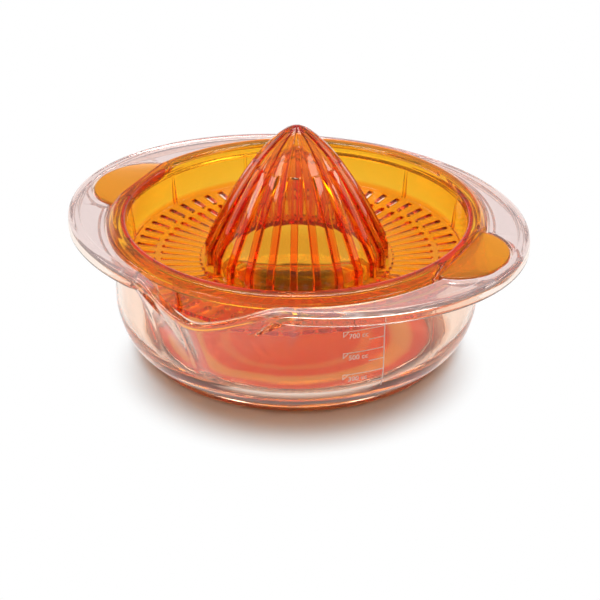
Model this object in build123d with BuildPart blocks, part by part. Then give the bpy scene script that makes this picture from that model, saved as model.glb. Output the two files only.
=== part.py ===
# Hand citrus juicer: a clear bowl with an oval flange, and an orange reamer with a strainer floor
# that lifts out of it. Z is up, X runs through the two ears, the spout points to minus Y.
import os
from math import atan2
from math import cos
from math import sin

from build123d import *

os.makedirs("parts", exist_ok=True)

# Bowl, all in millimetres
rim_height = 60.0
flange_half_x = 105.0
flange_half_y = 88.8
body_radius_top = 81.4
body_radius_low = 80.6
wall = 2.6
foot_radius = 68.0
foot_width = 7.0
foot_height = 3.0
base_thickness = 3.0
shoulder_height = 23.0
corner_radial_share = 0.34
corner_height_share = 0.34
lip_drop = 6.5
lip_round = 3.2
ridge_width = 5.0
ridge_rise = 0.8
seat_radius = 84.8
seat_depth = 3.0

# Spout, all in millimetres
spout_tip = 102.5
spout_nose_half = 9.8
spout_nose_bulge = 1.6
spout_root_half = 43.0
spout_root_y = 79.5
spout_foot_height = 15.0
spout_foot_tip = 78.5
spout_foot_half = 8.4
spout_foot_root_half = 20.0
spout_foot_root_y = 66.0
spout_dip = 7.6
spout_dip_half = 39.0

# Reamer and strainer, all in millimetres
ring_radius = 84.0
ring_step = 3.2
ring_top_height = 62.4
ring_edge_height = 59.8
ring_inner_radius = 75.6
ring_roll = 1.6
ring_wall = 2.0
ear_chord = 78.9
ear_length = 20.6
ear_half_width = 24.0
ear_thickness = 2.0
ear_gap = 0.9
ear_lift = 0.3
tray_wall = 2.0
tray_floor_radius = 73.2
tray_edge_height = 43.6
tray_centre_height = 40.6
tray_floor = 2.0
cone_radius = 40.6
cone_collar = 7.0
cone_top_height = 103.8
cone_curve_share = 0.635
cone_radius_shares = (0.14, 0.26, 0.38, 0.5, 0.62, 0.74, 0.84, 0.93, 1.0)
step_rise_share = 0.7
rib_width = 3.2
rib_proud = 2.0
rib_proud_upper = 1.1
cone_wall = 2.2
rib_count = 12
rib_angle = 9.5
slot_count = 60
slot_angle = 3.0
slot_width = 2.6
slot_inner_start = 42.6
slot_inner_end = 60.6
slot_outer_start = 62.8
slot_outer_end = 72.0
gusset_count = 12
gusset_angle = 15.0
gusset_width = 1.4
gusset_gap = 0.6

# Heights and radii that follow from them
seat_height = rim_height - seat_depth
seat_under = seat_height - wall
field_height = rim_height - ridge_rise
plate_under = field_height - wall
lip_height = rim_height - lip_drop
riser_out = seat_radius + wall
inner_top = body_radius_top - wall
inner_low = body_radius_low - wall
base_top = foot_height + base_thickness
foot_in = foot_radius - foot_width
inner_flat = foot_radius - wall - base_thickness / 2
over = 2 * rim_height
outer_bend = (
    body_radius_low - corner_radial_share * (body_radius_low - foot_radius),
    foot_height + corner_height_share * (shoulder_height - foot_height),
)
inner_bend = (
    inner_low - corner_radial_share * (inner_low - inner_flat),
    base_top + corner_height_share * (shoulder_height - base_top),
)
cone_inner = cone_radius - rib_proud - cone_wall


# Moves a profile inward, square to its own run and level at its foot
def inward(points, depth):
    moved = []
    for i, (r, z) in enumerate(points[:-1]):
        r0, z0 = points[max(i - 1, 0)]
        r1, z1 = points[i + 1]
        run = atan2(z1 - z0, r1 - r0)
        moved.append((r + depth * sin(run), z - depth * cos(run)))
    moved.append((points[-1][0] - depth, points[-1][1]))
    return [point for point in moved if point[0] > 0]


# Solid under a cone profile, down to the strainer floor
def cone_solid(points, top, bottom):
    with BuildPart() as solid:
        with BuildSketch(Plane.XZ):
            with BuildLine():
                Spline((0, top), *points)
                Line(points[-1], (points[-1][0], bottom))
                Line((points[-1][0], bottom), (0, bottom))
                Line((0, bottom), (0, top))
            make_face()
        revolve(axis=Axis.Z)
    return solid.part


# Spout outline at one height, drawn inside by the wall where asked
def spout_face(height, tip, nose, root_half, root_y, shrink):
    with BuildSketch(Plane.XY.offset(height), mode=Mode.PRIVATE) as face:
        with BuildLine():
            Polyline(
                (-nose + shrink / 2, spout_nose_bulge + shrink - tip),
                (-root_half + shrink, shrink - root_y),
                (-root_half + shrink, 0),
                (root_half - shrink, 0),
                (root_half - shrink, shrink - root_y),
                (nose - shrink / 2, spout_nose_bulge + shrink - tip),
            )
            ThreePointArc(
                (nose - shrink / 2, spout_nose_bulge + shrink - tip),
                (0, shrink - tip),
                (-nose + shrink / 2, spout_nose_bulge + shrink - tip),
            )
        make_face()
    return face.sketch


# Spout block between the rim and the foot of the spout
def spout_solid(shrink):
    high = spout_face(rim_height, spout_tip, spout_nose_half, spout_root_half, spout_root_y, shrink)
    low = spout_face(
        spout_foot_height,
        spout_foot_tip,
        spout_foot_half,
        spout_foot_root_half,
        spout_foot_root_y,
        shrink,
    )
    with BuildPart() as block:
        loft([high, low], ruled=True)
    return block.part


# Room inside the bowl wall, used to keep the spout out of it
with BuildPart() as room:
    with BuildSketch(Plane.XZ):
        with BuildLine():
            Line((0, base_top), (inner_flat, base_top))
            ThreePointArc((inner_flat, base_top), inner_bend, (inner_low, shoulder_height))
            Line((inner_low, shoulder_height), (inner_top, seat_height))
            Line((inner_top, seat_height), (seat_radius, seat_height))
            Line((seat_radius, seat_height), (seat_radius, over))
            Line((seat_radius, over), (0, over))
            Line((0, over), (0, base_top))
        make_face()
    revolve(axis=Axis.Z)

with BuildPart() as bowl:
    # Wall, base and seat in one turn
    with BuildSketch(Plane.XZ):
        with BuildLine():
            Polyline((0, foot_height), (foot_in, foot_height), (foot_in, 0), (foot_radius, 0))
            Line((foot_radius, 0), (foot_radius, foot_height))
            ThreePointArc((foot_radius, foot_height), outer_bend, (body_radius_low, shoulder_height))
            Line((body_radius_low, shoulder_height), (body_radius_top, seat_under))
            Polyline(
                (body_radius_top, seat_under),
                (riser_out, seat_under),
                (riser_out, field_height),
                (0, field_height),
                (0, foot_height),
            )
        make_face()
    revolve(axis=Axis.Z)
    # Oval flange with a turned-down rounded lip
    with BuildPart(mode=Mode.PRIVATE) as flange:
        with BuildSketch(Plane.XY.offset(lip_height)):
            Ellipse(flange_half_x, flange_half_y)
        extrude(amount=lip_drop)
        fillet(flange.edges().group_by(Axis.Z)[-1], radius=lip_round)
        with BuildSketch(Plane.XY.offset(lip_height)):
            Ellipse(flange_half_x - wall, flange_half_y - wall)
        extrude(amount=plate_under - lip_height, mode=Mode.SUBTRACT)
        with BuildSketch(Plane.XY.offset(field_height)):
            Ellipse(flange_half_x - ridge_width, flange_half_y - ridge_width)
        extrude(amount=over, mode=Mode.SUBTRACT)
    add(flange.part)
    # Trays under the two ears
    with BuildSketch(Plane.XY.offset(seat_under)):
        with Locations((ear_chord, 0), (-ear_chord, 0)):
            Ellipse(ear_length + ear_gap + wall, ear_half_width + ear_gap + wall)
    extrude(amount=field_height - seat_under)
    # Spout wall
    add(spout_solid(0))
    # Everything inside the wall and the spout is hollow
    add(room.part, mode=Mode.SUBTRACT)
    add(spout_solid(wall), mode=Mode.SUBTRACT)
    # Pockets for the ears
    with BuildSketch(Plane.XY.offset(seat_height)):
        with Locations((ear_chord, 0), (-ear_chord, 0)):
            Ellipse(ear_length + ear_gap, ear_half_width + ear_gap)
    extrude(amount=over, mode=Mode.SUBTRACT)
    # Dip of the pouring lip
    with BuildSketch(Plane.XZ.offset(spout_root_y)):
        with BuildLine():
            Spline(
                (-spout_dip_half, rim_height),
                (0, rim_height - spout_dip),
                (spout_dip_half, rim_height),
                tangents=((1, 0), (1, 0)),
            )
            Polyline(
                (spout_dip_half, rim_height),
                (spout_dip_half, over),
                (-spout_dip_half, over),
                (-spout_dip_half, rim_height),
            )
        make_face()
    extrude(amount=over, mode=Mode.SUBTRACT)
bowl.part.label = "bowl"

# Outline of the reamer crests, from the tip down to the collar
collar_height = tray_centre_height + cone_collar
cone_rise = cone_top_height - collar_height
step_height = collar_height + step_rise_share * cone_rise
crest = [
    (share * cone_radius, collar_height + cone_rise * (1 - share ** (1 / cone_curve_share)))
    for share in cone_radius_shares
]
cone_bottom = tray_centre_height - tray_floor
crest_solid = cone_solid(crest, cone_top_height, cone_bottom)
panel_solid = cone_solid(inward(crest, rib_proud), cone_top_height - rib_proud, cone_bottom)
panel_upper = cone_solid(inward(crest, rib_proud_upper), cone_top_height - rib_proud_upper, cone_bottom)
hollow_depth = rib_proud + cone_wall
hollow_solid = cone_solid(inward(crest, hollow_depth), cone_top_height - hollow_depth, cone_bottom)

with BuildPart() as reamer:
    # Strainer floor, tray wall and seat ring in one turn
    with BuildSketch(Plane.XZ) as turned:
        with BuildLine():
            Polyline(
                (cone_inner, tray_centre_height - tray_floor),
                (tray_floor_radius + tray_wall, tray_edge_height - tray_floor),
                (ring_inner_radius + tray_wall, seat_height),
                (ring_radius, seat_height),
                (ring_radius, ring_edge_height),
                (ring_radius - ring_step, ring_top_height),
                (ring_inner_radius, ring_top_height),
                (tray_floor_radius, tray_edge_height),
                (cone_inner, tray_centre_height),
                close=True,
            )
        make_face()
        rolled = turned.vertices().group_by(Axis.Y)[-1].sort_by(Axis.X)
        fillet(rolled[0], radius=ring_roll)
        fillet(turned.vertices().group_by(Axis.Y)[-1].sort_by(Axis.X)[-1], radius=ring_roll / 2)
    revolve(axis=Axis.Z)
    # Channel under the ring, which is a folded-over wall and not a solid hoop
    with BuildPart(mode=Mode.PRIVATE) as channel:
        with BuildSketch(Plane.XZ):
            with BuildLine():
                Polyline(
                    (ring_inner_radius + tray_wall, seat_height - ring_wall),
                    (ring_radius - ring_wall, seat_height - ring_wall),
                    (ring_radius - ring_wall, ring_edge_height - ring_wall / 2),
                    (ring_radius - ring_step - ring_wall / 2, ring_top_height - ring_wall),
                    (ring_inner_radius + tray_wall, ring_top_height - ring_wall),
                    close=True,
                )
            make_face()
        revolve(axis=Axis.Z)
        Box(
            2 * (ear_chord - ring_wall),
            2 * ring_radius,
            over,
            align=(Align.CENTER, Align.CENTER, Align.MIN),
            mode=Mode.INTERSECT,
        )
    add(channel.part, mode=Mode.SUBTRACT)
    # Upright gussets between the wall and the ring
    with BuildPart(mode=Mode.PRIVATE) as gussets:
        with PolarLocations(0, gusset_count, start_angle=gusset_angle):
            with Locations((ring_inner_radius + tray_wall - gusset_gap, 0, seat_height)):
                Box(
                    2 * tray_wall,
                    gusset_width,
                    seat_height - tray_edge_height,
                    align=(Align.MAX, Align.CENTER, Align.MAX),
                )
        with BuildSketch(Plane.XZ):
            with BuildLine():
                Polyline(
                    (0, tray_edge_height - tray_floor),
                    (tray_floor_radius + tray_wall / 2, tray_edge_height - tray_floor),
                    (ring_inner_radius + tray_wall / 2, ring_top_height),
                    (0, ring_top_height),
                    close=True,
                )
            make_face()
        revolve(axis=Axis.Z, mode=Mode.SUBTRACT)
    add(gussets.part)
    # Straight sides of the ring where the ears start
    for side in (1, -1):
        with Locations((side * (ear_chord + ring_radius) / 2, 0, 0)):
            Box(
                ring_radius - ear_chord,
                2 * ring_radius,
                over,
                align=(Align.CENTER, Align.CENTER, Align.MIN),
                mode=Mode.SUBTRACT,
            )
    # Ears, flat lobes outside the straight sides
    with BuildSketch(Plane.XY.offset(seat_height + ear_lift)):
        with Locations((ear_chord, 0), (-ear_chord, 0)):
            Ellipse(ear_length, ear_half_width)
        Rectangle(2 * ear_chord - ear_thickness, 2 * ring_radius, mode=Mode.SUBTRACT)
    extrude(amount=ear_thickness)
    # Reamer cone with its ribs
    add(panel_solid)
    with BuildPart(mode=Mode.PRIVATE) as upper:
        add(panel_upper)
        with Locations((0, 0, step_height)):
            Cylinder(
                cone_radius,
                over,
                align=(Align.CENTER, Align.CENTER, Align.MIN),
                mode=Mode.INTERSECT,
            )
    add(upper.part)
    with BuildPart(mode=Mode.PRIVATE) as ribs:
        with PolarLocations(0, rib_count // 2, start_angle=rib_angle, angular_range=180):
            Box(2 * cone_radius, rib_width, over, align=(Align.CENTER, Align.CENTER, Align.MIN))
        minor_angle = rib_angle + 180 / rib_count
        with PolarLocations(0, rib_count // 2, start_angle=minor_angle, angular_range=180):
            Box(2 * cone_radius, rib_width, step_height, align=(Align.CENTER, Align.CENTER, Align.MIN))
        add(crest_solid, mode=Mode.INTERSECT)
    add(ribs.part)
    add(hollow_solid, mode=Mode.SUBTRACT)
    # Strainer slots in two rings
    for start, end in ((slot_inner_start, slot_inner_end), (slot_outer_start, slot_outer_end)):
        with PolarLocations((start + end) / 2, slot_count, start_angle=slot_angle):
            Box(
                end - start,
                slot_width,
                tray_edge_height + tray_floor,
                align=(Align.CENTER, Align.CENTER, Align.MIN),
                mode=Mode.SUBTRACT,
            )
reamer.part.label = "reamer"

export_step(bowl.part, "parts/bowl.step")
export_step(reamer.part, "parts/reamer.step")
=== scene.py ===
# Looks of the hand citrus juicer: a clear bowl and an orange reamer, both transparent plastic.
# Sizes are in millimetres as in the CAD model, and every mesh is scaled to metres when it is made.
import math

import bmesh
import bpy
from mathutils import Matrix, Vector


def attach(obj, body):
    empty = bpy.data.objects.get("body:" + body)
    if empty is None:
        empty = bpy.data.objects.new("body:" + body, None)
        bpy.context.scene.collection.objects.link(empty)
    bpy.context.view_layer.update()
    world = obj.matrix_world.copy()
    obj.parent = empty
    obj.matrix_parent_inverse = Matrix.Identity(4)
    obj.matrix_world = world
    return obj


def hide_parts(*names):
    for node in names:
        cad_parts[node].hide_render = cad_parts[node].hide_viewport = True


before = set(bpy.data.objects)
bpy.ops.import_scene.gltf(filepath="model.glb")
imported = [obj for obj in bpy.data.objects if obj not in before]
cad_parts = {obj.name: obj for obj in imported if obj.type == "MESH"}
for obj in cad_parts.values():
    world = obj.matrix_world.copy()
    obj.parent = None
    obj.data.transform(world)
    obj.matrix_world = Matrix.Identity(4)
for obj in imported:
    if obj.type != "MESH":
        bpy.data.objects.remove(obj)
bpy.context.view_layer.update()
scene = bpy.context.scene

MM = 0.001

# Bowl
RIM = 60.0
FLANGE_X, FLANGE_Y = 105.0, 88.8
BODY_TOP, BODY_LOW = 81.4, 80.6
WALL = 2.6
FOOT_R, FOOT_WIDTH, FOOT_H = 68.0, 7.0, 3.0
BASE_TOP = 6.0
SHOULDER = 23.0
BEND_SHARE = 0.34
INNER_FLAT = 63.9
LIP_DROP, LIP_ROUND = 6.5, 3.2
RIDGE_WIDTH, RIDGE_RISE = 5.0, 0.8
SEAT_R, SEAT_DEPTH = 84.8, 3.0
SEAT_CLEAR = 0.1

# Spout, given at the rim and at its foot
SPOUT_LOW, SPOUT_HIGH = 15.0, 60.0
SPOUT_TIP = (78.5, 102.5)
SPOUT_NOSE = (8.4, 9.8)
SPOUT_ROOT = (20.0, 43.0)
SPOUT_ROOT_Y = (66.0, 79.5)
SPOUT_BULGE = 1.6
SPOUT_DIP, SPOUT_DIP_HALF = 7.6, 39.0
SPOUT_JOIN = 47.0
SPOUT_FADE = 9.0
NOSE_SOFT, ROOT_SOFT = 3.0, 4.0
LIP_THICK = 1.8
SPOUT_LIP_FROM, SPOUT_LIP_TO = 26.0, 12.0

# Reamer and strainer
RING_R, RING_STEP = 84.0, 3.2
RING_TOP, RING_EDGE = 62.4, 59.8
RING_IN, RING_ROLL, RING_WALL = 75.6, 1.6, 2.0
EAR_CHORD, EAR_LENGTH, EAR_HALF = 78.9, 20.6, 24.0
EAR_TOP, EAR_UNDER, EAR_GAP = 59.3, 57.3, 0.9
SEAT = RIM - SEAT_DEPTH
TRAY_WALL = 2.0
FLOOR_R, FLOOR_EDGE, FLOOR_CENTRE, FLOOR_THICK = 73.2, 43.6, 40.6, 2.0
CONE_R, CONE_TOP, CONE_POWER = 40.6, 103.8, 0.635
COLLAR = 47.6
STEP = 86.9
CONE_IN, HOLLOW_DEPTH = 36.4, 4.2
RIB_HALF, RIB_PROUD, RIB_PROUD_UPPER = 1.6, 2.0, 1.1
RIBS, RIB_ANGLE = 24, 9.5
SLOTS, SLOT_ANGLE, SLOT_HALF = 60, 3.0, 1.3
SLOT_ROWS = ((42.6, 60.6), (62.8, 72.0))
GUSSETS, GUSSET_ANGLE, GUSSET_HALF, GUSSET_R = 12, 15.0, 0.7, 77.0

# Volume scale, by run along the wall and height
SCALE_AT = -36.5
SCALE_FROM, SCALE_END = 130_000, 50.0
SCALE_LONG, SCALE_SHORT = (300_000, 500_000, 700_000), (200_000, 400_000, 600_000)
LINE_WIDTH, TICK_WIDTH, TICK_LONG, TICK_SHORT = 0.42, 0.34, 18.4, 7.0
FIGURE_SIZE, FIGURE_END, FIGURE_DROP, FLAG = 3.3, 7.4, 0.9, 2.4
MARK_PROUD, MARK_SUNK = 0.25, 0.1
MARK_SHOULDER, MARK_SHOULDER_RISE = 0.8, 0.6
LINE_PIECES, LONG_PIECES, SHORT_PIECES, FLAG_PIECES = 24, 10, 4, 2
FIGURE_STEPS, FILL_STEP, CC = 3, 0.05, 1000

# Small gaps and roundings of the bowl's outline, the roundings in order along it
RIM_SOFT, RIDGE_GAP, RIDGE_SLOPE, UNDER_GAP = 0.5, 0.3, 0.4, 0.3
FOOT_ROUNDS = (0, 0.7, 0.9, 0.9, 0.6, 0)
FOOT_BLEND = 0.4
FLANGE_ROUNDS = (1.2, 1.0, 0.8, 1.0, 0.9, 0.9, LIP_ROUND, 0.7, 0.6, 0.8, 0.6, 0.9)
SPOUT_ROUNDS = (1.2, 1.0, 0.8, 1.0, 0.9, 0.9, 1.2, 1.2, 0.6, 0.8, 0.6, 0.9)
SPOUT_OUTSIDE, SPOUT_INSIDE = (3.6, 3.0, 2.4, 1.8, 0.0), (2.0, 3.4)
JOIN_RISE = 1
OUTER_END, INNER_END = 1.4, 1.2
SPOUT_SIGHT = 0.3

# Ribs, hollow and strainer: shapes across a rib, rows of points and small gaps
RIB_ACROSS = (-1.08, -0.98, -0.84, 0.0, 0.84, 0.98, 1.08)
RIB_HEIGHT = (0.0, 0.85, 1.0, 1.0, 1.0, 0.85, 0.0)
RIB_DEPTH_SHARE, RIB_ROOM = 0.35, 0.9
SQUEEZE, SQUEEZE_R = 0.26, (14, 7)
UPPER_LEVELS, UPPER_POWER, LOWER_LEVELS, COLLAR_LEVELS = 12, 1.3, 14, 3
STEP_GAP, TIP_GAP = 1.012, 0.15
SLOPE_MAX, SLOPE_MIN, DROP_MIN = 3.0, 0.05, 0.5
HOLLOW_LEVELS, HOLLOW_POWER, HOLLOW_FOOT_POWER, HOLLOW_TIP_R = 18, 1.2, 6, 1.0
HOLLOW_ROUND, HOLLOW_RUN = 0.6, 2
SLOT_ENDS, SLOT_END_SHARE = (0.0, 0.15, 0.6, 1.3), 0.2
SLOT_MARGINS = (0.6, 0.5)
SLOT_POINTS = 4
TRAY_START = 0.8
TRAY_ROUNDS = (0, 1.2, RING_ROLL, 0.8, 0.6, 0.4, 0.8, 0.8, 0.2, 0.2, 0.3, 0.4, 0.5, 0.5, 0.2, 0.5, 0.9, 0)
EAR_FADE, EAR_STEP, EAR_NOTCH = 0.6, 0.1, (0.5, 0.9)
CHORD_GAP, EDGE_GAP, GROOVE_GAP, GROOVE_ROOM, TURN_GAP = 0.02, 0.01, 0.1, 0.2, 0.05

# Steps and sharp edges of the meshes
PLAIN_STEP, FINE_STEP, SPOUT_STEP = 2.0, 0.2, 0.5
SPOUT_ARC = (240, 300)
POCKET_EDGE, POCKET_REACH = 16.6, 2.4
EAR_EDGE, EAR_REACH = 17.4, 3.2
GUSSET_REACH, GUSSET_STEP = 0.06, 0.12
WALL_LEVELS, BEND_STEPS, HOLLOW_SIDES = 8, 10, 96
ROUND_STEPS, ROUND_SHARE = 4, 0.48
MERGE = 1e-7
BOWL_SHARP, REAMER_SHARP, SCALE_SHARP = 40, 35, 35
MIDDLE_R = 30.0
TINY = 1e-6

# Plastic: tints are linear colours, zones are (axis, start, end, tint, share let through) in metres
PLASTIC_IOR, CLEAR_SHARE, ORANGE_SHARE = 1.47, 0.99, 0.97
# Painted light: the clear plastic's warm salmon tint stands for orange light from the strainer inside the
# bowl
CLEAR_WARM_LIGHT_TINT, CLEAR_SHINE, CLEAR_ABSORB, CLEAR_DENSITY = (1, 0.87, 0.78), (1, 0.86, 0.74), (1, 0.8, 0.62), 30
ORANGE_TINT, ORANGE_SHINE = (1, 0.89, 0.38), (1, 0.9, 0.8)
ORANGE_ABSORB, ORANGE_DENSITY = (0.993, 0.845, 0.01), 1000
CLOUD = 0.94
WAVE_SCALE, WAVE_DETAIL, WAVE_STRENGTH, WAVE_HEIGHT = 45, 2, 0.25, 0.0004
HAZE_NOISE, HAZE = (0.3, 0.7), (0.01, 0.05)
FLANGE_ZONE = ("Z", 0.0576, 0.0588, (0.81, 0.66, 0.67), 0.72)
# Painted shade: the foot's plastic is tinted dark brown for the contact shadow under the bowl
FOOT_SHADE_ZONE = ("Z", 0.0027, 0.0012, (0.5, 0.25, 0.16), CLEAR_SHARE)
# Painted light: the cone is lighter and yellower towards its tip, standing for highlights there
CONE_TIP_LIGHT_ZONE = ("Z", 0.066, 0.08, (1, 1, 0.8), ORANGE_SHARE)
TRAY_ZONE = ("Z", 0.0462, 0.0447, (1, 0.57, 0.15), ORANGE_SHARE)
EAR_ZONE = ("X", 0.0785, 0.08, (1, 0.54, 0.05), 0.78)
# Painted shade: the cone's lower part is darker olive, for the shaded bowl floor seen through it
PANEL_SHADE_TINT, PANEL_SHADE_FADE = (0.82, 0.56, 0.17), (76, 62)
RIB_TINT, RIB_FADE = (0.95, 0.3, 0.1), (86, 58)
RIB_EDGE, CONE_EDGE, TIP_FADE = (1.04, 0.86), (0.8, 0.3), (6, 10)
MARK_COLOUR, MARK_DULL, MARK_ROUGH, MARK_GRAIN = (1.0, 0.82, 0.76), 0.9, 0.35, 900

# Camera: direction seen from the origin, distance and the offset of the view's middle
SENSOR, LENS = 36, 150
CAMERA_AZ, CAMERA_EL, CAMERA_DIST = math.radians(26.5), math.radians(25.65), 1.105
TARGET = (0, 0, 0.0595)
VIEW_AHEAD, VIEW_RIGHT, VIEW_DOWN = 2500, 3.2, 82.6

# Floor: rings of painted light and shade by radius, and the edges of the shadow, partly painted, and of the
# painted glow, in metres
FLOOR_SIZE, FLOOR_DROP, FLOOR_ROUGH, FLOOR_GLOSS = 6, 0.0002, 0.7, 0.1
PATCH_REACH = 0.1
# Painted light: colours of the warm pool and rings of light that the orange strainer throws on the floor
# under the bowl
RED_LIGHT_PAINT, RING_LIGHT_PAINT, BRIGHT_RING_LIGHT_PAINT = (1, 0.095, 0.005), (1, 0.22, 0.045), (1, 0.42, 0.1)
PAINTED_LIGHT_INNER_RINGS = (
    (0.028, RED_LIGHT_PAINT), (0.0305, RING_LIGHT_PAINT), (0.033, RING_LIGHT_PAINT), (0.0355, RED_LIGHT_PAINT),
    (0.041, RED_LIGHT_PAINT), (0.045, BRIGHT_RING_LIGHT_PAINT), (0.0505, BRIGHT_RING_LIGHT_PAINT), (0.055, RED_LIGHT_PAINT),
)
# Painted light: glow colours of the floor, the warm rings fading to white just outside the foot
PAINTED_GLOW_RINGS = PAINTED_LIGHT_INNER_RINGS + (
    (0.0605, RED_LIGHT_PAINT), (0.0645, (0.95, 0.38, 0.22)), (0.068, (1, 0.72, 0.58)), (0.074, (1, 1, 1)),
)
# Painted light and shade: base colours of the floor, the warm rings and then a painted dark ring of shade
# round the foot that pales outwards
PAINTED_LIGHT_AND_SHADE_RINGS = PAINTED_LIGHT_INNER_RINGS + (
    (0.058, RED_LIGHT_PAINT), (0.064, (0.3, 0.1, 0.05)), (0.070, (0.48, 0.35, 0.28)), (0.095, (0.6, 0.5, 0.44)),
)
# Painted light: share and edges of the warm glow that the floor gives off under the bowl
GLOW_SHARE, GLOW_EDGE = 0.5, (0.050, 0.061)
GLASS_EDGE = (0.066, 0.073)
# Painted shade: colour, offset, edges and reach of a dark spot on the floor behind the cone, inside the foot
SHADE, SHADE_BACK = (0.045, 0.02, 0.005), 0.054
SHADE_EDGE, SHADE_REACH = (0.016, 0.032), (0.06, 0.066)
# Painted contact shadow: the floor's white fades out over these radii round the foot
CONTACT_SHADOW_EDGE = (0.066, 0.077)
# Painted shadow outline: the floor is white beyond a disc shifted towards the camera, and inside it the lamps
# shade the floor
SHADOW_EDGE, SHADOW_SHIFT = (0.052, 0.084), 0.024

# Studio: the surround, and lamps as (name, turn from the camera, height, distance, size, power)
BACKDROP, ROOM, BACKDROP_FADE = 1.0, 0.2, (0.20, 0.36)
LAMP_AIM = (0, 0, 0.04)
LAMPS = (
    ("top", 180, 74, 1.1, (0.7, 0.6), 10),
    ("front_left", -60, 44, 1.2, (0.36, 0.36), 2.4),
    ("front_right", 60, 44, 1.2, (0.36, 0.36), 2.4),
    ("side_left", -100, 24, 1.2, (0.5, 0.2), 2.0),
    ("side_right", 100, 24, 1.2, (0.5, 0.2), 2.0),
)
BOUNCES = 48


def lerp(a, b, t):
    return a + (b - a) * t


def smooth(a, b, x):
    t = min(max((x - a) / (b - a), 0.0), 1.0)
    return t * t * (3 - 2 * t)


def soft_max(a, b, k):
    return (a + b + math.sqrt((a - b) ** 2 + k * k)) / 2


def soft_min(a, b, k):
    return (a + b - math.sqrt((a - b) ** 2 + k * k)) / 2


def oval(theta, a, b):
    """Radius of an oval about the origin."""
    return 1 / math.hypot(math.cos(theta) / a, math.sin(theta) / b)


def lobe(theta, a, b):
    """Radius of the far side of an oval about the ear chord, or 0 where the ray misses it."""
    c, s = abs(math.cos(theta)), math.sin(theta)
    qa = (c / a) ** 2 + (s / b) ** 2
    qb = -2 * EAR_CHORD * c / a**2
    qc = (EAR_CHORD / a) ** 2 - 1
    d = qb * qb - 4 * qa * qc
    return (-qb + math.sqrt(d)) / (2 * qa) if d > 0 else 0.0


def rounded(corners):
    """Polyline through (r, z, radius) corners, each with a radius turned into a short curve."""
    out = []
    for i, (r, z, radius) in enumerate(corners):
        if radius == 0 or i in (0, len(corners) - 1):
            out.append((r, z))
            continue
        p, here, n = (Vector(corners[j][:2]) for j in (i - 1, i, i + 1))
        a = here + (p - here).normalized() * min(radius, (p - here).length * ROUND_SHARE)
        b = here + (n - here).normalized() * min(radius, (n - here).length * ROUND_SHARE)
        for k in range(ROUND_STEPS + 1):
            t = k / ROUND_STEPS
            q = a * (1 - t) ** 2 + here * 2 * t * (1 - t) + b * t * t
            out.append((q.x, q.y))
    return out


def bend(a, b, outward, inward):
    """Quarter-like sweep from a to b that passes the shared bend point of the bowl's corner."""
    mid = Vector((outward - BEND_SHARE * (outward - inward), a[1] + BEND_SHARE * (b[1] - a[1])))
    a, b = Vector(a), Vector(b)
    control = mid * 2 - (a + b) / 2
    points = []
    for k in range(BEND_STEPS + 1):
        t = k / BEND_STEPS
        q = a * (1 - t) ** 2 + control * 2 * t * (1 - t) + b * t * t
        points.append((q.x, q.y))
    return points


class Shell:
    """Collects rings of points into one closed mesh."""

    def __init__(self):
        self.points = []
        self.faces = []

    def ring(self, polar):
        start = len(self.points)
        for theta, r, z in polar:
            self.points.append((r * math.cos(theta), r * math.sin(theta), z))
        return list(range(start, len(self.points)))

    def pole(self, z):
        self.points.append((0, 0, z))
        return len(self.points) - 1

    def strip(self, a, b, skip=()):
        n = len(a)
        for i in range(n):
            if i not in skip:
                j = (i + 1) % n
                self.faces.append((a[i], a[j], b[j], b[i]))

    def fan(self, tip, a):
        for i in range(len(a)):
            self.faces.append((tip, a[i], a[(i + 1) % len(a)]))

    def zipper(self, a, b):
        """Joins two rings of different counts, each listed by growing angle."""
        def angle(i):
            x, y, _ = self.points[i]
            return math.atan2(y, x) % math.tau

        a = sorted(a, key=angle)
        b = sorted(b, key=angle)
        i = j = 0
        while i < len(a) or j < len(b):
            here_a, here_b = a[i % len(a)], b[j % len(b)]
            next_a = angle(a[i + 1]) if i + 1 < len(a) else angle(a[0]) + math.tau
            next_b = angle(b[j + 1]) if j + 1 < len(b) else angle(b[0]) + math.tau
            if j == len(b) or (i < len(a) and next_a <= next_b):
                self.faces.append((here_a, a[(i + 1) % len(a)], here_b))
                i += 1
            else:
                self.faces.append((here_a, b[(j + 1) % len(b)], here_b))
                j += 1

    def build(self, name, sharp):
        mesh = bpy.data.meshes.new(name)
        mesh.from_pydata([[c * MM for c in p] for p in self.points], [], self.faces)
        work = bmesh.new()
        work.from_mesh(mesh)
        bmesh.ops.dissolve_degenerate(work, dist=MERGE, edges=work.edges)
        bmesh.ops.recalc_face_normals(work, faces=work.faces)
        work.to_mesh(mesh)
        work.free()
        mesh.shade_smooth()
        mesh.set_sharp_from_angle(angle=math.radians(sharp))
        obj = bpy.data.objects.new(name, mesh)
        scene.collection.objects.link(obj)
        return obj


# Bowl

def spout_radius(phi, z, shrink):
    """Radius of the spout's outline at an angle from the spout's axis and a height."""
    t = (z - SPOUT_LOW) / (SPOUT_HIGH - SPOUT_LOW)
    nose = lerp(*SPOUT_NOSE, t) - shrink / 2
    tip = lerp(*SPOUT_TIP, t) - shrink
    root = lerp(*SPOUT_ROOT, t) - shrink
    root_y = lerp(*SPOUT_ROOT_Y, t) - shrink
    c, s = math.cos(phi), abs(math.sin(phi))
    if c < SPOUT_SIGHT:
        return 0.0
    front = (tip - SPOUT_BULGE * min((s / c * tip / nose) ** 2, 1)) / c
    run_x, run_y = root - nose, root_y - (tip - SPOUT_BULGE)
    side = (run_y * nose - run_x * (tip - SPOUT_BULGE)) / (run_y * s - run_x * c)
    return min(soft_min(front, side, NOSE_SOFT), root / max(s, TINY))


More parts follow.
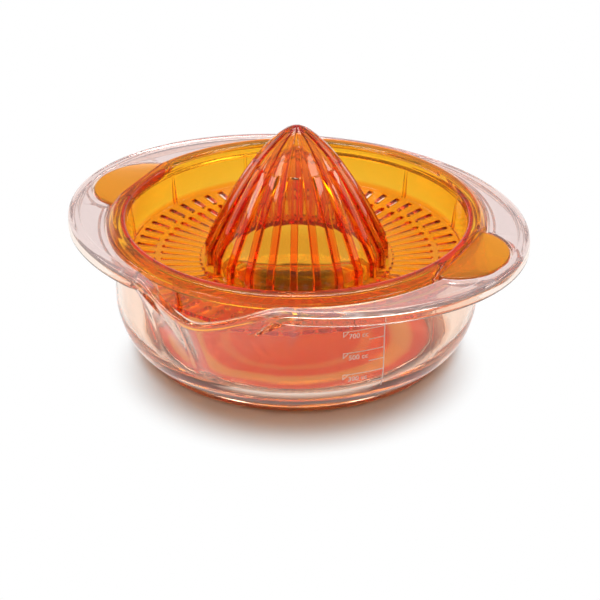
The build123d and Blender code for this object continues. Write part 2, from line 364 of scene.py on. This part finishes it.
def with_spout(r, phi, z, shrink):
    """Body radius widened to the spout, fading out towards the spout's foot."""
    joined = soft_max(r, spout_radius(phi, z, shrink), ROOT_SOFT)
    return lerp(r, joined, smooth(SPOUT_LOW, SPOUT_LOW + SPOUT_FADE, z))


def dip(x):
    u = min(abs(x) / SPOUT_DIP_HALF, 1.0)
    return SPOUT_DIP * (1 - smooth(0, 1, u))


def bowl_profile(theta):
    """Closed outline of the bowl at one angle, from the middle underneath to the middle inside."""
    phi = math.remainder(theta + math.pi / 2, math.tau)
    lip_weight = smooth(math.radians(SPOUT_LIP_FROM), math.radians(SPOUT_LIP_TO), abs(phi))
    rim_r = oval(theta, FLANGE_X, FLANGE_Y)
    drop = 0
    if abs(phi) < 1:
        drop = dip(soft_max(rim_r, spout_radius(phi, RIM, 0), RIM_SOFT) * math.sin(phi))
    riser = max(SEAT_R, lobe(theta, EAR_LENGTH + EAR_GAP, EAR_HALF + EAR_GAP))
    ridge = max(rim_r - RIDGE_WIDTH, riser + RIDGE_GAP)
    lip_in = rim_r - WALL
    under = min(riser + WALL, lip_in - UNDER_GAP)
    field = RIM - RIDGE_RISE
    ledge = SEAT - SEAT_CLEAR
    inner_top, inner_low = BODY_TOP - WALL, BODY_LOW - WALL

    def out(z):
        plain = lerp(BODY_LOW, BODY_TOP, (z - SHOULDER) / (RIM - WALL - SEAT_DEPTH - SHOULDER))
        return with_spout(plain, phi, z, 0)

    def inside(z):
        plain = lerp(inner_low, inner_top, (z - SHOULDER) / (SEAT - SHOULDER))
        return with_spout(plain, phi, z, WALL)

    lip = RIM - drop
    flange = [
        (BODY_TOP, SEAT - WALL),
        (under, SEAT - WALL),
        (under, field - WALL),
        (lip_in, field - WALL),
        (lip_in, RIM - LIP_DROP),
        (rim_r, RIM - LIP_DROP),
        (rim_r, RIM),
        (ridge, RIM),
        (ridge - RIDGE_SLOPE, field),
        (riser, field),
        (riser, ledge),
        (inner_top, ledge),
    ]
    flange = [(r, z - drop, radius) for (r, z), radius in zip(flange, FLANGE_ROUNDS)]
    if lip_weight > 0:
        low_join, high_join = SPOUT_JOIN, SPOUT_JOIN + JOIN_RISE
        thin, full = (lip - fall for fall in SPOUT_INSIDE)
        spout = [(out(z), z) for z in (low_join, high_join, *(lip - fall for fall in SPOUT_OUTSIDE))]
        spout += [(inside(z) - LIP_THICK, z) for z in (lip, thin)]
        spout += [(inside(z), z) for z in (full, high_join, low_join)]
        spout = [(r, z, radius) for (r, z), radius in zip(spout, SPOUT_ROUNDS)]
        flange = [
            tuple(lerp(a, b, lip_weight) for a, b in zip(f, s)) for f, s in zip(flange, spout)
        ]
    outer_top, inner_end = flange[0][1], flange[-1][1]

    corner_out = bend((FOOT_R, FOOT_H), (BODY_LOW, SHOULDER), BODY_LOW, FOOT_R)
    corner_in = bend((INNER_FLAT, BASE_TOP), (inner_low, SHOULDER), inner_low, INNER_FLAT)
    foot = [
        (MIDDLE_R, FOOT_H),
        (FOOT_R - FOOT_WIDTH, FOOT_H),
        (FOOT_R - FOOT_WIDTH, 0),
        (FOOT_R, 0),
        (FOOT_R, FOOT_H - FOOT_BLEND),
        corner_out[0],
    ]
    outline = rounded([(r, z, radius) for (r, z), radius in zip(foot, FOOT_ROUNDS)])
    outline += [(with_spout(r, phi, z, 0), z) for r, z in corner_out[1:]]
    wall_top, wall_end = outer_top - OUTER_END, inner_end - INNER_END
    for k in range(1, WALL_LEVELS):
        z = lerp(SHOULDER, wall_top, k / WALL_LEVELS)
        outline.append((out(z), z))
    first = (out(wall_top), wall_top, 0)
    last = (inside(wall_end), wall_end, 0)
    outline += rounded([first, *flange, last])
    for k in range(1, WALL_LEVELS):
        z = lerp(wall_end, SHOULDER, k / WALL_LEVELS)
        outline.append((inside(z), z))
    outline += [(with_spout(r, phi, z, WALL), z) for r, z in reversed(corner_in)]
    outline.append((MIDDLE_R, BASE_TOP))
    return outline


def spread(plain, fine):
    """Angles all the way round, in degrees: plain steps, and finer ones in the listed stretches."""
    found = {round(k * plain, 4) for k in range(int(360 / plain))}
    for start, end, step in fine:
        count = round((end - start) / step)
        found |= {round((start + k * step) % 360, 4) for k in range(count + 1)}
    return [math.radians(a) for a in sorted(found)]


def ear_arcs(edge, reach):
    """Stretches of finer steps at both ends of both ears."""
    return [(a + s * edge - reach, a + s * edge + reach, FINE_STEP) for a in (0, 180) for s in (1, -1)]


def turned(shell, thetas, profile_at):
    """Rings of points from the outline at each angle, joined along the outline."""
    profiles = [profile_at(theta) for theta in thetas]
    rings = [
        shell.ring((theta, *profile[k]) for theta, profile in zip(thetas, profiles))
        for k in range(len(profiles[0]))
    ]
    for a, b in zip(rings, rings[1:]):
        shell.strip(a, b)
    return rings


def make_bowl():
    shell = Shell()
    thetas = spread(PLAIN_STEP, [(*SPOUT_ARC, SPOUT_STEP), *ear_arcs(POCKET_EDGE, POCKET_REACH)])
    rings = turned(shell, thetas, bowl_profile)
    shell.fan(shell.pole(FOOT_H), rings[0])
    shell.fan(shell.pole(BASE_TOP), rings[-1])
    return shell.build("bowl_shell", BOWL_SHARP)


# Reamer

def floor_top(r):
    return lerp(FLOOR_CENTRE, FLOOR_EDGE, (r - CONE_IN) / (FLOOR_R - CONE_IN))


def crest(share):
    """Height of the cone's crest line where its radius is this share of the full one."""
    return COLLAR + (CONE_TOP - COLLAR) * (1 - share ** (1 / CONE_POWER))


def steepness(share, z):
    """Slope of the cone's crest line at a share of its full radius."""
    return CONE_R * share / max(CONE_TOP - z, DROP_MIN) * CONE_POWER


def cone_rings(shell):
    """Ribbed outside of the cone, from the tip down to the floor. Returns its lowest ring."""
    step_share = ((CONE_TOP - STEP) / (CONE_TOP - COLLAR)) ** CONE_POWER
    below = step_share * STEP_GAP
    levels = [(step_share * (k / UPPER_LEVELS) ** UPPER_POWER, True) for k in range(1, UPPER_LEVELS + 1)]
    levels += [(lerp(below, 1.0, k / LOWER_LEVELS), False) for k in range(LOWER_LEVELS + 1)]
    tip = shell.pole(CONE_TOP - TIP_GAP)
    rings = []
    sector = math.tau / RIBS

    def add_ring(r, z, slope, upper):
        depth = (RIB_PROUD_UPPER if upper else RIB_PROUD) * math.hypot(1, slope)
        depth = min(depth, r * RIB_DEPTH_SHARE)
        polar = []
        squeeze = SQUEEZE * smooth(*SQUEEZE_R, r)
        for i in range(RIBS):
            major = i % 2 == 0
            half = sector * (0.5 + (squeeze if major else -squeeze))
            middle = math.radians(RIB_ANGLE) + i * sector
            for a, h in zip(RIB_ACROSS, RIB_HEIGHT):
                if upper and not major:
                    h = 0.0
                turn = a * min(RIB_HALF / r, half * RIB_ROOM / RIB_ACROSS[-1])
                polar.append((middle + turn, r - depth * (1 - h), z))
            polar.append((middle + half, r - depth, z))
        rings.append(shell.ring(polar))

    for share, upper in levels:
        slope = steepness(share, crest(share))
        add_ring(CONE_R * share, crest(share), min(slope, SLOPE_MAX), upper)
    for k in range(1, COLLAR_LEVELS + 1):
        add_ring(CONE_R, lerp(COLLAR, floor_top(CONE_R), k / COLLAR_LEVELS), 0.0, False)
    shell.fan(tip, rings[0])
    for a, b in zip(rings, rings[1:]):
        shell.strip(a, b)
    return rings[-1]


def hollow_rings(shell):
    """Smooth inside of the cone, open downwards. Returns its lowest ring."""
    rings = []
    for k in range(1, HOLLOW_LEVELS + 1):
        share = (k / HOLLOW_LEVELS) ** HOLLOW_POWER
        z = crest(share)
        tilt = math.atan(1 / max(steepness(share, z), SLOPE_MIN))
        r = CONE_R * share - HOLLOW_DEPTH * math.sin(tilt)
        z -= HOLLOW_DEPTH * math.cos(tilt) * (1 - share ** HOLLOW_FOOT_POWER)
        if r > HOLLOW_TIP_R:
            rings.append((r, z))
    rings.append((CONE_IN, (COLLAR + FLOOR_CENTRE) / 2))
    foot_end = CONE_IN + HOLLOW_RUN
    rings += rounded([
        (CONE_IN, FLOOR_CENTRE, 0),
        (CONE_IN, floor_top(CONE_IN) - FLOOR_THICK, HOLLOW_ROUND),
        (foot_end, floor_top(foot_end) - FLOOR_THICK, 0),
    ])[1:]
    loops = [
        shell.ring((math.tau * i / HOLLOW_SIDES, r, z) for i in range(HOLLOW_SIDES)) for r, z in rings
    ]
    shell.fan(shell.pole(CONE_TOP - HOLLOW_DEPTH), loops[0])
    for a, b in zip(loops, loops[1:]):
        shell.strip(a, b)
    return loops[-1]


def strainer_floor(shell):
    """Slotted floor. Returns its inner and outer rings, on top and underneath."""
    radii = [(SLOT_ROWS[0][0] - SLOT_MARGINS[0], None)]
    for start, end in SLOT_ROWS:
        row = [start + e for e in SLOT_ENDS] + [end - e for e in reversed(SLOT_ENDS)]
        radii += [(r, (start, end)) for r in row]
    radii.append((SLOT_ROWS[1][1] + SLOT_MARGINS[1], None))

    def half(r, row):
        if row is None:
            return SLOT_HALF
        d = min(r - row[0], row[1] - r)
        return SLOT_HALF * max(math.sqrt(max(1 - max(1 - d, 0) ** 2, 0)), SLOT_END_SHARE)

    tops, unders = [], []
    pitch = math.tau / SLOTS
    for r, row in radii:
        turn = half(r, row) / r
        polar = []
        for i in range(SLOTS):
            middle = math.radians(SLOT_ANGLE) + i * pitch
            free = pitch - 2 * turn
            for t in (-turn, turn, turn + free / 3, turn + 2 * free / 3):
                polar.append((middle + t, r))
        tops.append(shell.ring((a, q, floor_top(q)) for a, q in polar))
        unders.append(shell.ring((a, q, floor_top(q) - FLOOR_THICK) for a, q in polar))
    slot_cells = {SLOT_POINTS * i for i in range(SLOTS)}
    for k in range(len(radii) - 1):
        row = radii[k][1]
        cut = row is not None and row == radii[k + 1][1]
        for rings in (tops, unders):
            shell.strip(rings[k], rings[k + 1], skip=slot_cells if cut else ())
        if not cut:
            continue
        for i in slot_cells:
            for c in (i, i + 1):
                shell.faces.append((tops[k][c], tops[k + 1][c], unders[k + 1][c], unders[k][c]))
            for end, other in ((k, k - 1), (k + 1, k + 2)):
                if radii[other][1] != row:
                    top, under = tops[end], unders[end]
                    shell.faces.append((top[i], top[i + 1], under[i + 1], under[i]))
    return tops[0], tops[-1], unders[0], unders[-1]


def tray_profile(theta):
    """Outline of the tray wall, seat ring and ear at one angle, from the floor's top to its underside."""
    slant = 1 / max(abs(math.cos(theta)), TINY)
    chord = EAR_CHORD * slant
    shelf = RING_R - RING_STEP
    ring = min(RING_R, chord)
    top = min(shelf, chord - CHORD_GAP)
    fall = (RING_TOP - RING_EDGE) / RING_STEP
    edge = RING_TOP - max(ring - shelf, CHORD_GAP) * fall
    ear = max(ring, lobe(theta, EAR_LENGTH, EAR_HALF))
    reach = min((ear - ring) / EAR_FADE, 1.0)
    below = lerp(SEAT, EAR_UNDER, reach)
    ear_end = max(ear, ring + EDGE_GAP)
    wall_top = RING_IN + TRAY_WALL
    wall_low = FLOOR_R + TRAY_WALL
    step = math.tau / GUSSETS
    off = abs(math.remainder(theta - math.radians(GUSSET_ANGLE), step)) * wall_top
    if off < GUSSET_HALF:
        wall_low = GUSSET_R
    groove = min(RING_R - RING_WALL, chord - RING_WALL * slant)
    room = min(max(groove - wall_top - GROOVE_ROOM, 0.0), 1.0)
    groove = max(groove, wall_top + GROOVE_GAP)
    groove_top = lerp(SEAT, RING_TOP - RING_WALL, room)
    groove_edge = lerp(SEAT, RING_EDGE - RING_WALL / 2, room)
    groove_turn = min(shelf - RING_WALL / 2, groove - TURN_GAP)
    start = SLOT_ROWS[1][1] + TRAY_START
    corners = [
        (start, floor_top(start)),
        (FLOOR_R, FLOOR_EDGE),
        (RING_IN, RING_TOP),
        (top, RING_TOP),
        (ring, edge),
        (ring, EAR_TOP + EAR_STEP),
        (ear_end, EAR_TOP),
        (ear_end, below),
        (ring - EAR_NOTCH[0], below),
        (ring - EAR_NOTCH[1], SEAT),
        (groove, SEAT),
        (groove, groove_edge),
        (groove_turn, groove_top),
        (wall_top, groove_top),
        (wall_top, SEAT),
        (wall_low, FLOOR_EDGE),
        (FLOOR_R + TRAY_WALL, FLOOR_EDGE - FLOOR_THICK),
        (start, floor_top(start) - FLOOR_THICK),
    ]
    return rounded([(r, z, radius) for (r, z), radius in zip(corners, TRAY_ROUNDS)])


def make_reamer():
    shell = Shell()
    cone_foot = cone_rings(shell)
    hollow_foot = hollow_rings(shell)
    top_in, top_out, under_in, under_out = strainer_floor(shell)
    gussets = []
    for i in range(GUSSETS):
        middle = GUSSET_ANGLE + i * 360 / GUSSETS
        edge = math.degrees(GUSSET_HALF / GUSSET_R)
        for side in (middle + edge, middle - edge):
            gussets.append((side - GUSSET_REACH, side + GUSSET_REACH, GUSSET_STEP))
    thetas = spread(PLAIN_STEP, [*ear_arcs(EAR_EDGE, EAR_REACH), *gussets])
    rings = turned(shell, thetas, tray_profile)
    shell.zipper(cone_foot, top_in)
    shell.zipper(top_out, rings[0])
    shell.zipper(hollow_foot, under_in)
    shell.zipper(under_out, rings[-1])
    return shell.build("reamer_shell", REAMER_SHARP)


# Volume scale

def curve_at(points, z):
    """Radius at a height, read off a rising list of (r, z) points."""
    for (r0, z0), (r1, z1) in zip(points, points[1:]):
        if z <= z1:
            return lerp(r0, r1, (z - z0) / (z1 - z0))
    return points[-1][0]


def wall_points(low, top, flat, base):
    lip = RIM - WALL - SEAT_DEPTH
    return bend((flat, base), (low, SHOULDER), low, flat) + [(top, lip)]


def fill_height(volume):
    """Height that a volume in cubic millimetres reaches inside the bowl."""
    points = wall_points(BODY_LOW - WALL, BODY_TOP - WALL, INNER_FLAT, BASE_TOP)
    z = BASE_TOP
    while volume > 0:
        volume -= math.pi * curve_at(points, z) ** 2 * FILL_STEP
        z += FILL_STEP
    return z


class Marks:
    """Raised marks on the outside of the bowl, laid out by run along the wall and height."""

    def __init__(self):
        self.points = []
        self.faces = []
        self.wall = wall_points(BODY_LOW, BODY_TOP, FOOT_R, FOOT_H)

    def place(self, run, z, proud):
        r = curve_at(self.wall, z) + proud
        a = math.radians(SCALE_AT) + run / BODY_LOW
        self.points.append((r * math.cos(a) * MM, r * math.sin(a) * MM, z * MM))
        return len(self.points) - 1

    def stroke(self, start, end, width, pieces):
        """Bar with a flat bottom in the wall and a rounded top."""
        along = Vector(end) - Vector(start)
        across = Vector((-along.y, along.x)).normalized() * width / 2
        rise = MARK_PROUD * MARK_SHOULDER_RISE
        section = (
            (-1, -MARK_SUNK), (-MARK_SHOULDER, rise), (0, MARK_PROUD), (MARK_SHOULDER, rise), (1, -MARK_SUNK),
        )
        rows = []
        for k in range(pieces + 1):
            p = Vector(start) + along * (k / pieces)
            rows.append([self.place(*(p + across * s), h) for s, h in section])
        n = len(section)
        for a, b in zip(rows, rows[1:]):
            self.faces += [(a[i], a[(i + 1) % n], b[(i + 1) % n], b[i]) for i in range(n)]
        self.faces += [tuple(rows[0]), tuple(reversed(rows[-1]))]

    def words(self, text, end, top):
        """Plain figures that end at a run and hang down from a height."""
        font = bpy.data.curves.new("figures", "FONT")
        font.body = text
        font.size = FIGURE_SIZE
        font.extrude = MARK_PROUD / 2
        font.resolution_u = FIGURE_STEPS
        font.align_x = "RIGHT"
        font.align_y = "TOP"
        holder = bpy.data.objects.new("figures", font)
        scene.collection.objects.link(holder)
        bpy.context.view_layer.update()
        depsgraph = bpy.context.evaluated_depsgraph_get()
        mesh = bpy.data.meshes.new_from_object(holder.evaluated_get(depsgraph))
        index = [self.place(end + v.co.x, top + v.co.y, v.co.z) for v in mesh.vertices]
        self.faces += [tuple(index[i] for i in p.vertices) for p in mesh.polygons]
        bpy.data.objects.remove(holder)
        bpy.data.curves.remove(font)
        bpy.data.meshes.remove(mesh)


def make_scale():
    marks = Marks()
    marks.stroke((0, fill_height(SCALE_FROM)), (0, SCALE_END), LINE_WIDTH, LINE_PIECES)
    for volume in SCALE_SHORT:
        z = fill_height(volume)
        marks.stroke((0, z), (-TICK_SHORT, z), TICK_WIDTH, SHORT_PIECES)
    for volume in SCALE_LONG:
        z = fill_height(volume)
        marks.stroke((0, z), (-TICK_LONG, z), TICK_WIDTH, LONG_PIECES)
        marks.stroke((-TICK_LONG, z), (-TICK_LONG, z - FLAG), TICK_WIDTH, FLAG_PIECES)
        marks.stroke((-TICK_LONG, z - FLAG), (-TICK_LONG + FLAG, z), TICK_WIDTH, FLAG_PIECES)
        marks.words(f"{volume // CC} cc", -FIGURE_END, z - FIGURE_DROP)
    mesh = bpy.data.meshes.new("volume_scale")
    mesh.from_pydata(marks.points, [], marks.faces)
    mesh.shade_smooth()
    mesh.set_sharp_from_angle(angle=math.radians(SCALE_SHARP))
    obj = bpy.data.objects.new("volume_scale", mesh)
    scene.collection.objects.link(obj)
    return obj


# Materials

def new_material(name):
    m = bpy.data.materials.new(name)
    m.use_nodes = True
    return m, m.node_tree, m.node_tree.nodes["Principled BSDF"]


def calc(tree, operation, *terms):
    """Result of a Math node whose terms are numbers or sockets."""
    node = tree.nodes.new("ShaderNodeMath")
    node.operation = operation
    for socket, term in zip(node.inputs, terms):
        if isinstance(term, (int, float)):
            socket.default_value = term
        else:
            tree.links.new(term, socket)
    return node.outputs[0]


def over_range(tree, value, start, end, first=0, last=1, soft=True):
    """Value carried from the range start to end over to the range first to last."""
    node = tree.nodes.new("ShaderNodeMapRange")
    node.interpolation_type = "SMOOTHSTEP" if soft else "LINEAR"
    for name, number in zip(("From Min", "From Max", "To Min", "To Max"), (start, end, first, last)):
        node.inputs[name].default_value = number
    tree.links.new(value, node.inputs["Value"])
    return node.outputs["Result"]


def blend(tree, factor, a, b):
    """Colour from a to b by the factor. Each of the two is a colour or a socket."""
    node = tree.nodes.new("ShaderNodeMix")
    node.data_type = "RGBA"
    tree.links.new(factor, node.inputs["Factor"])
    for socket, colour in ((node.inputs["A"], a), (node.inputs["B"], b)):
        if isinstance(colour, tuple):
            socket.default_value = (*colour, 1)
        else:
            tree.links.new(colour, socket)
    return node.outputs["Result"]


def cone_shares(tree, place):
    """Shares of the cone's lower panels, which get a painted shade, and of its ribs, where the plastic is
    thicker.
    """
    def times(a, b):
        return calc(tree, "MULTIPLY", a, b)

    def fade(value, start, end):
        return over_range(tree, value, start * MM, end * MM)

    split = tree.nodes.new("ShaderNodeSeparateXYZ")
    tree.links.new(place, split.inputs[0])
    x, y, z = split.outputs
    radius = calc(tree, "SQRT", calc(tree, "ADD", times(x, x), times(y, y)))
    sector = math.tau / RIBS
    # Every other rib ends at the step, so above it there are half as many
    pitch = calc(tree, "SUBTRACT", 1, times(calc(tree, "GREATER_THAN", z, STEP * MM), 0.5))
    turn = calc(tree, "SUBTRACT", calc(tree, "ARCTAN2", y, x), math.radians(RIB_ANGLE))
    count = times(calc(tree, "DIVIDE", turn, sector), pitch)
    off = calc(tree, "DIVIDE", calc(tree, "PINGPONG", count, 0.5), pitch)
    arc = times(times(off, sector), radius)
    on_rib = fade(arc, *(RIB_HALF * share for share in RIB_EDGE))
    inside = fade(radius, *(CONE_R + gap for gap in CONE_EDGE))
    on_cone = times(inside, fade(radius, *TIP_FADE))
    # Painted shade: share of the cone's lower part
    panel_shade = times(inside, fade(z, *PANEL_SHADE_FADE))
    rib = times(times(on_rib, on_cone), fade(z, *RIB_FADE))
    return panel_shade, rib


def plastic(name, tint, shine, absorb, density, clear_share, zones, cone_tints=()):
    """Polished moulded plastic: faint waves of the mould, a little haze, and tints by place, some of which
    paint light and shade.
    """
    m, tree, shader = new_material(name)
    nodes, links = tree.nodes, tree.links
    shader.inputs["IOR"].default_value = PLASTIC_IOR
    shader.inputs["Specular Tint"].default_value = (*shine, 1)
    place = nodes.new("ShaderNodeTexCoord").outputs["Object"]
    outward = nodes.new("ShaderNodeVectorMath")
    outward.operation = "ABSOLUTE"
    links.new(place, outward.inputs[0])
    split = nodes.new("ShaderNodeSeparateXYZ")
    links.new(outward.outputs["Vector"], split.inputs[0])

    noise = nodes.new("ShaderNodeTexNoise")
    noise.inputs["Scale"].default_value = WAVE_SCALE
    noise.inputs["Detail"].default_value = WAVE_DETAIL
    links.new(place, noise.inputs["Vector"])
    waves = noise.outputs[0]
    bump = nodes.new("ShaderNodeBump")
    bump.inputs["Strength"].default_value = WAVE_STRENGTH
    bump.inputs["Distance"].default_value = WAVE_HEIGHT
    links.new(waves, bump.inputs["Height"])
    links.new(bump.outputs["Normal"], shader.inputs["Normal"])
    links.new(over_range(tree, waves, *HAZE_NOISE, *HAZE, soft=False), shader.inputs["Roughness"])

    colour = blend(tree, waves, tuple(c ** CLOUD for c in tint), tuple(c ** (1 / CLOUD) for c in tint))
    # Zone tints, some of them painted light and shade
    for axis, low, high, zone_tint, zone_share in zones:
        zone = over_range(tree, split.outputs[axis], low, high)
        colour = blend(tree, zone, colour, zone_tint)
        if zone_share != clear_share:
            passing = over_range(tree, zone, 0, 1, clear_share, zone_share, soft=False)
            links.new(passing, shader.inputs["Transmission Weight"])
    # Cone tints: painted shade on the lower cone, and the deeper red of the thicker ribs
    if cone_tints:
        for share, cone_tint in zip(cone_shares(tree, place), cone_tints):
            colour = blend(tree, share, colour, cone_tint)
    links.new(colour, shader.inputs["Base Color"])

    volume = nodes.new("ShaderNodeVolumeAbsorption")
    volume.inputs["Color"].default_value = (*absorb, 1)
    volume.inputs["Density"].default_value = density
    links.new(volume.outputs[0], nodes["Material Output"].inputs["Volume"])
    return m


def relief(name, colour):
    """Matt pale face of the raised marks."""
    m, tree, shader = new_material(name)
    shader.inputs["Roughness"].default_value = MARK_ROUGH
    noise = tree.nodes.new("ShaderNodeTexNoise")
    noise.inputs["Scale"].default_value = MARK_GRAIN
    place = tree.nodes.new("ShaderNodeTexCoord")
    tree.links.new(place.outputs["Object"], noise.inputs["Vector"])
    mottled = blend(tree, noise.outputs[0], tuple(c * MARK_DULL for c in colour), colour)
    tree.links.new(mottled, shader.inputs["Base Color"])
    return m


def floor_material():
    """Pale floor that keeps a soft shadow, partly painted, with painted warm light and rings where light
    comes through the strainer.
    """
    m, tree, shader = new_material("floor")
    nodes, links = tree.nodes, tree.links
    shader.inputs["Roughness"].default_value = FLOOR_ROUGH
    shader.inputs["Specular IOR Level"].default_value = FLOOR_GLOSS
    place = nodes.new("ShaderNodeTexCoord").outputs["Object"]
    length = nodes.new("ShaderNodeVectorMath")
    length.operation = "LENGTH"
    links.new(place, length.inputs[0])
    radius = length.outputs["Value"]
    reach = over_range(tree, radius, 0, PATCH_REACH, soft=False)

    def rings(table):
        ramp = nodes.new("ShaderNodeValToRGB")
        ramp.color_ramp.interpolation = "EASE"
        stops = ramp.color_ramp.elements
        for index, (r, colour) in enumerate(table):
            stop = stops[index] if index < len(stops) else stops.new(1)
            stop.position = r / PATCH_REACH
            stop.color = (*colour, 1)
        links.new(reach, ramp.inputs["Fac"])
        return ramp.outputs["Color"]

    def away(forward):
        """Distance on the floor from a point forward of the middle, towards the camera."""
        gap = nodes.new("ShaderNodeVectorMath")
        gap.operation = "DISTANCE"
        gap.inputs[1].default_value = (forward * math.sin(CAMERA_AZ), -forward * math.cos(CAMERA_AZ), 0)
        links.new(place, gap.inputs[0])
        return gap.outputs["Value"]

    # Base colour: painted warm rings of light, and a painted dark ring of shade round the foot
    links.new(rings(PAINTED_LIGHT_AND_SHADE_RINGS), shader.inputs["Base Color"])
    # Painted shade: a dark spot behind the cone, inside the foot
    inside = over_range(tree, radius, *SHADE_REACH, 1, 0)
    dark = calc(tree, "MULTIPLY", inside, over_range(tree, away(-SHADE_BACK), *SHADE_EDGE, 1, 0))
    # Painted light: the floor glows with the warm rings, and is dark in the painted spot
    glow = nodes.new("ShaderNodeEmission")
    links.new(blend(tree, dark, rings(PAINTED_GLOW_RINGS), SHADE), glow.inputs["Color"])
    # White beyond a disc shifted towards the camera paints the outline of the shadow
    far = over_range(tree, away(SHADOW_SHIFT), *SHADOW_EDGE)
    lit = calc(tree, "ADD", far, over_range(tree, radius, *GLOW_EDGE, GLOW_SHARE, 0))
    outer = over_range(tree, radius, *GLASS_EDGE)
    # Painted contact shadow: for camera rays the white fades out round the foot
    contact_shadow = over_range(tree, radius, *CONTACT_SHADOW_EDGE)
    path = nodes.new("ShaderNodeLightPath").outputs
    direct = calc(tree, "MULTIPLY", path["Is Camera Ray"], calc(tree, "MULTIPLY", far, contact_shadow))
    glass = calc(tree, "MAXIMUM", path["Is Glossy Ray"], path["Is Transmission Ray"])
    glass = calc(tree, "MULTIPLY", glass, calc(tree, "MAXIMUM", lit, outer))
    both = nodes.new("ShaderNodeMixShader")
    links.new(calc(tree, "ADD", direct, glass), both.inputs["Fac"])
    links.new(shader.outputs[0], both.inputs[1])
    links.new(glow.outputs[0], both.inputs[2])
    links.new(both.outputs[0], nodes["Material Output"].inputs["Surface"])
    return m


# Camera and light

def make_camera():
    """Camera on its target's line, turned off it by the view's offset."""
    cam = bpy.data.cameras.new("camera")
    camera = bpy.data.objects.new("camera", cam)
    scene.collection.objects.link(camera)
    scene.camera = camera
    cam.sensor_width = SENSOR
    cam.lens = LENS
    level = math.cos(CAMERA_EL)
    back = Vector((math.sin(CAMERA_AZ) * level, -math.cos(CAMERA_AZ) * level, math.sin(CAMERA_EL)))
    right = Vector((math.cos(CAMERA_AZ), math.sin(CAMERA_AZ), 0))
    up = back.cross(right)
    look = (-back * VIEW_AHEAD + right * VIEW_RIGHT - up * VIEW_DOWN).normalized()
    side = look.cross(up).normalized()
    top = side.cross(look)
    place = Vector(TARGET) + back * CAMERA_DIST
    camera.matrix_world = Matrix((
        (side.x, top.x, -look.x, place.x),
        (side.y, top.y, -look.y, place.y),
        (side.z, top.z, -look.z, place.z),
        (0, 0, 0, 1),
    ))


def sky():
    """Studio surround: a pale backdrop up to a low height, and a dim room above it."""
    world = bpy.data.worlds.new("studio")
    scene.world = world
    world.use_nodes = True
    tree = world.node_tree
    place = tree.nodes.new("ShaderNodeTexCoord")
    split = tree.nodes.new("ShaderNodeSeparateXYZ")
    tree.links.new(place.outputs["Generated"], split.inputs[0])
    background = tree.nodes["Background"]
    background.inputs["Color"].default_value = (1, 1, 1, 1)
    strength = over_range(tree, split.outputs["Z"], *BACKDROP_FADE, BACKDROP, ROOM)
    tree.links.new(strength, background.inputs["Strength"])


def area(name, turn, height, distance, size, power):
    """Lamp at an angle from the camera's direction, anticlockwise seen from above."""
    a, e = CAMERA_AZ - math.pi / 2 + math.radians(turn), math.radians(height)
    spot = Vector((math.cos(a) * math.cos(e), math.sin(a) * math.cos(e), math.sin(e))) * distance
    light = bpy.data.lights.new(name, "AREA")
    light.shape = "RECTANGLE"
    light.size, light.size_y = size
    light.energy = power
    lamp = bpy.data.objects.new(name, light)
    scene.collection.objects.link(lamp)
    lamp.location = spot
    lamp.rotation_euler = (Vector(LAMP_AIM) - spot).to_track_quat("-Z", "Y").to_euler()


# Pieces
# The clear bowl has a painted warm light tint and painted shade at the foot; the orange reamer has painted
# light at the cone tip and painted shade on its lower part
clear = plastic(
    "clear_plastic", CLEAR_WARM_LIGHT_TINT, CLEAR_SHINE, CLEAR_ABSORB, CLEAR_DENSITY, CLEAR_SHARE,
    (FOOT_SHADE_ZONE, FLANGE_ZONE),
)
orange = plastic(
    "orange_plastic", ORANGE_TINT, ORANGE_SHINE, ORANGE_ABSORB, ORANGE_DENSITY, ORANGE_SHARE,
    (CONE_TIP_LIGHT_ZONE, TRAY_ZONE, EAR_ZONE), (PANEL_SHADE_TINT, RIB_TINT),
)

bowl = make_bowl()
bowl.data.materials.append(clear)
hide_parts("bowl")
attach(bowl, "bowl")

reamer = make_reamer()
reamer.data.materials.append(orange)
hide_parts("reamer")
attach(reamer, "reamer")

scale = make_scale()
scale.data.materials.append(relief("scale_relief", MARK_COLOUR))
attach(scale, "bowl")

# Stage
make_camera()
bpy.ops.mesh.primitive_plane_add(size=FLOOR_SIZE, location=(0, 0, -FLOOR_DROP))
floor = bpy.context.object
floor.name = "floor"
floor.data.materials.append(floor_material())
sky()
for lamp in LAMPS:
    area(*lamp)
scene.view_settings.view_transform = "Standard"
scene.cycles.max_bounces = BOUNCES
scene.cycles.transmission_bounces = BOUNCES
scene.cycles.glossy_bounces = BOUNCES
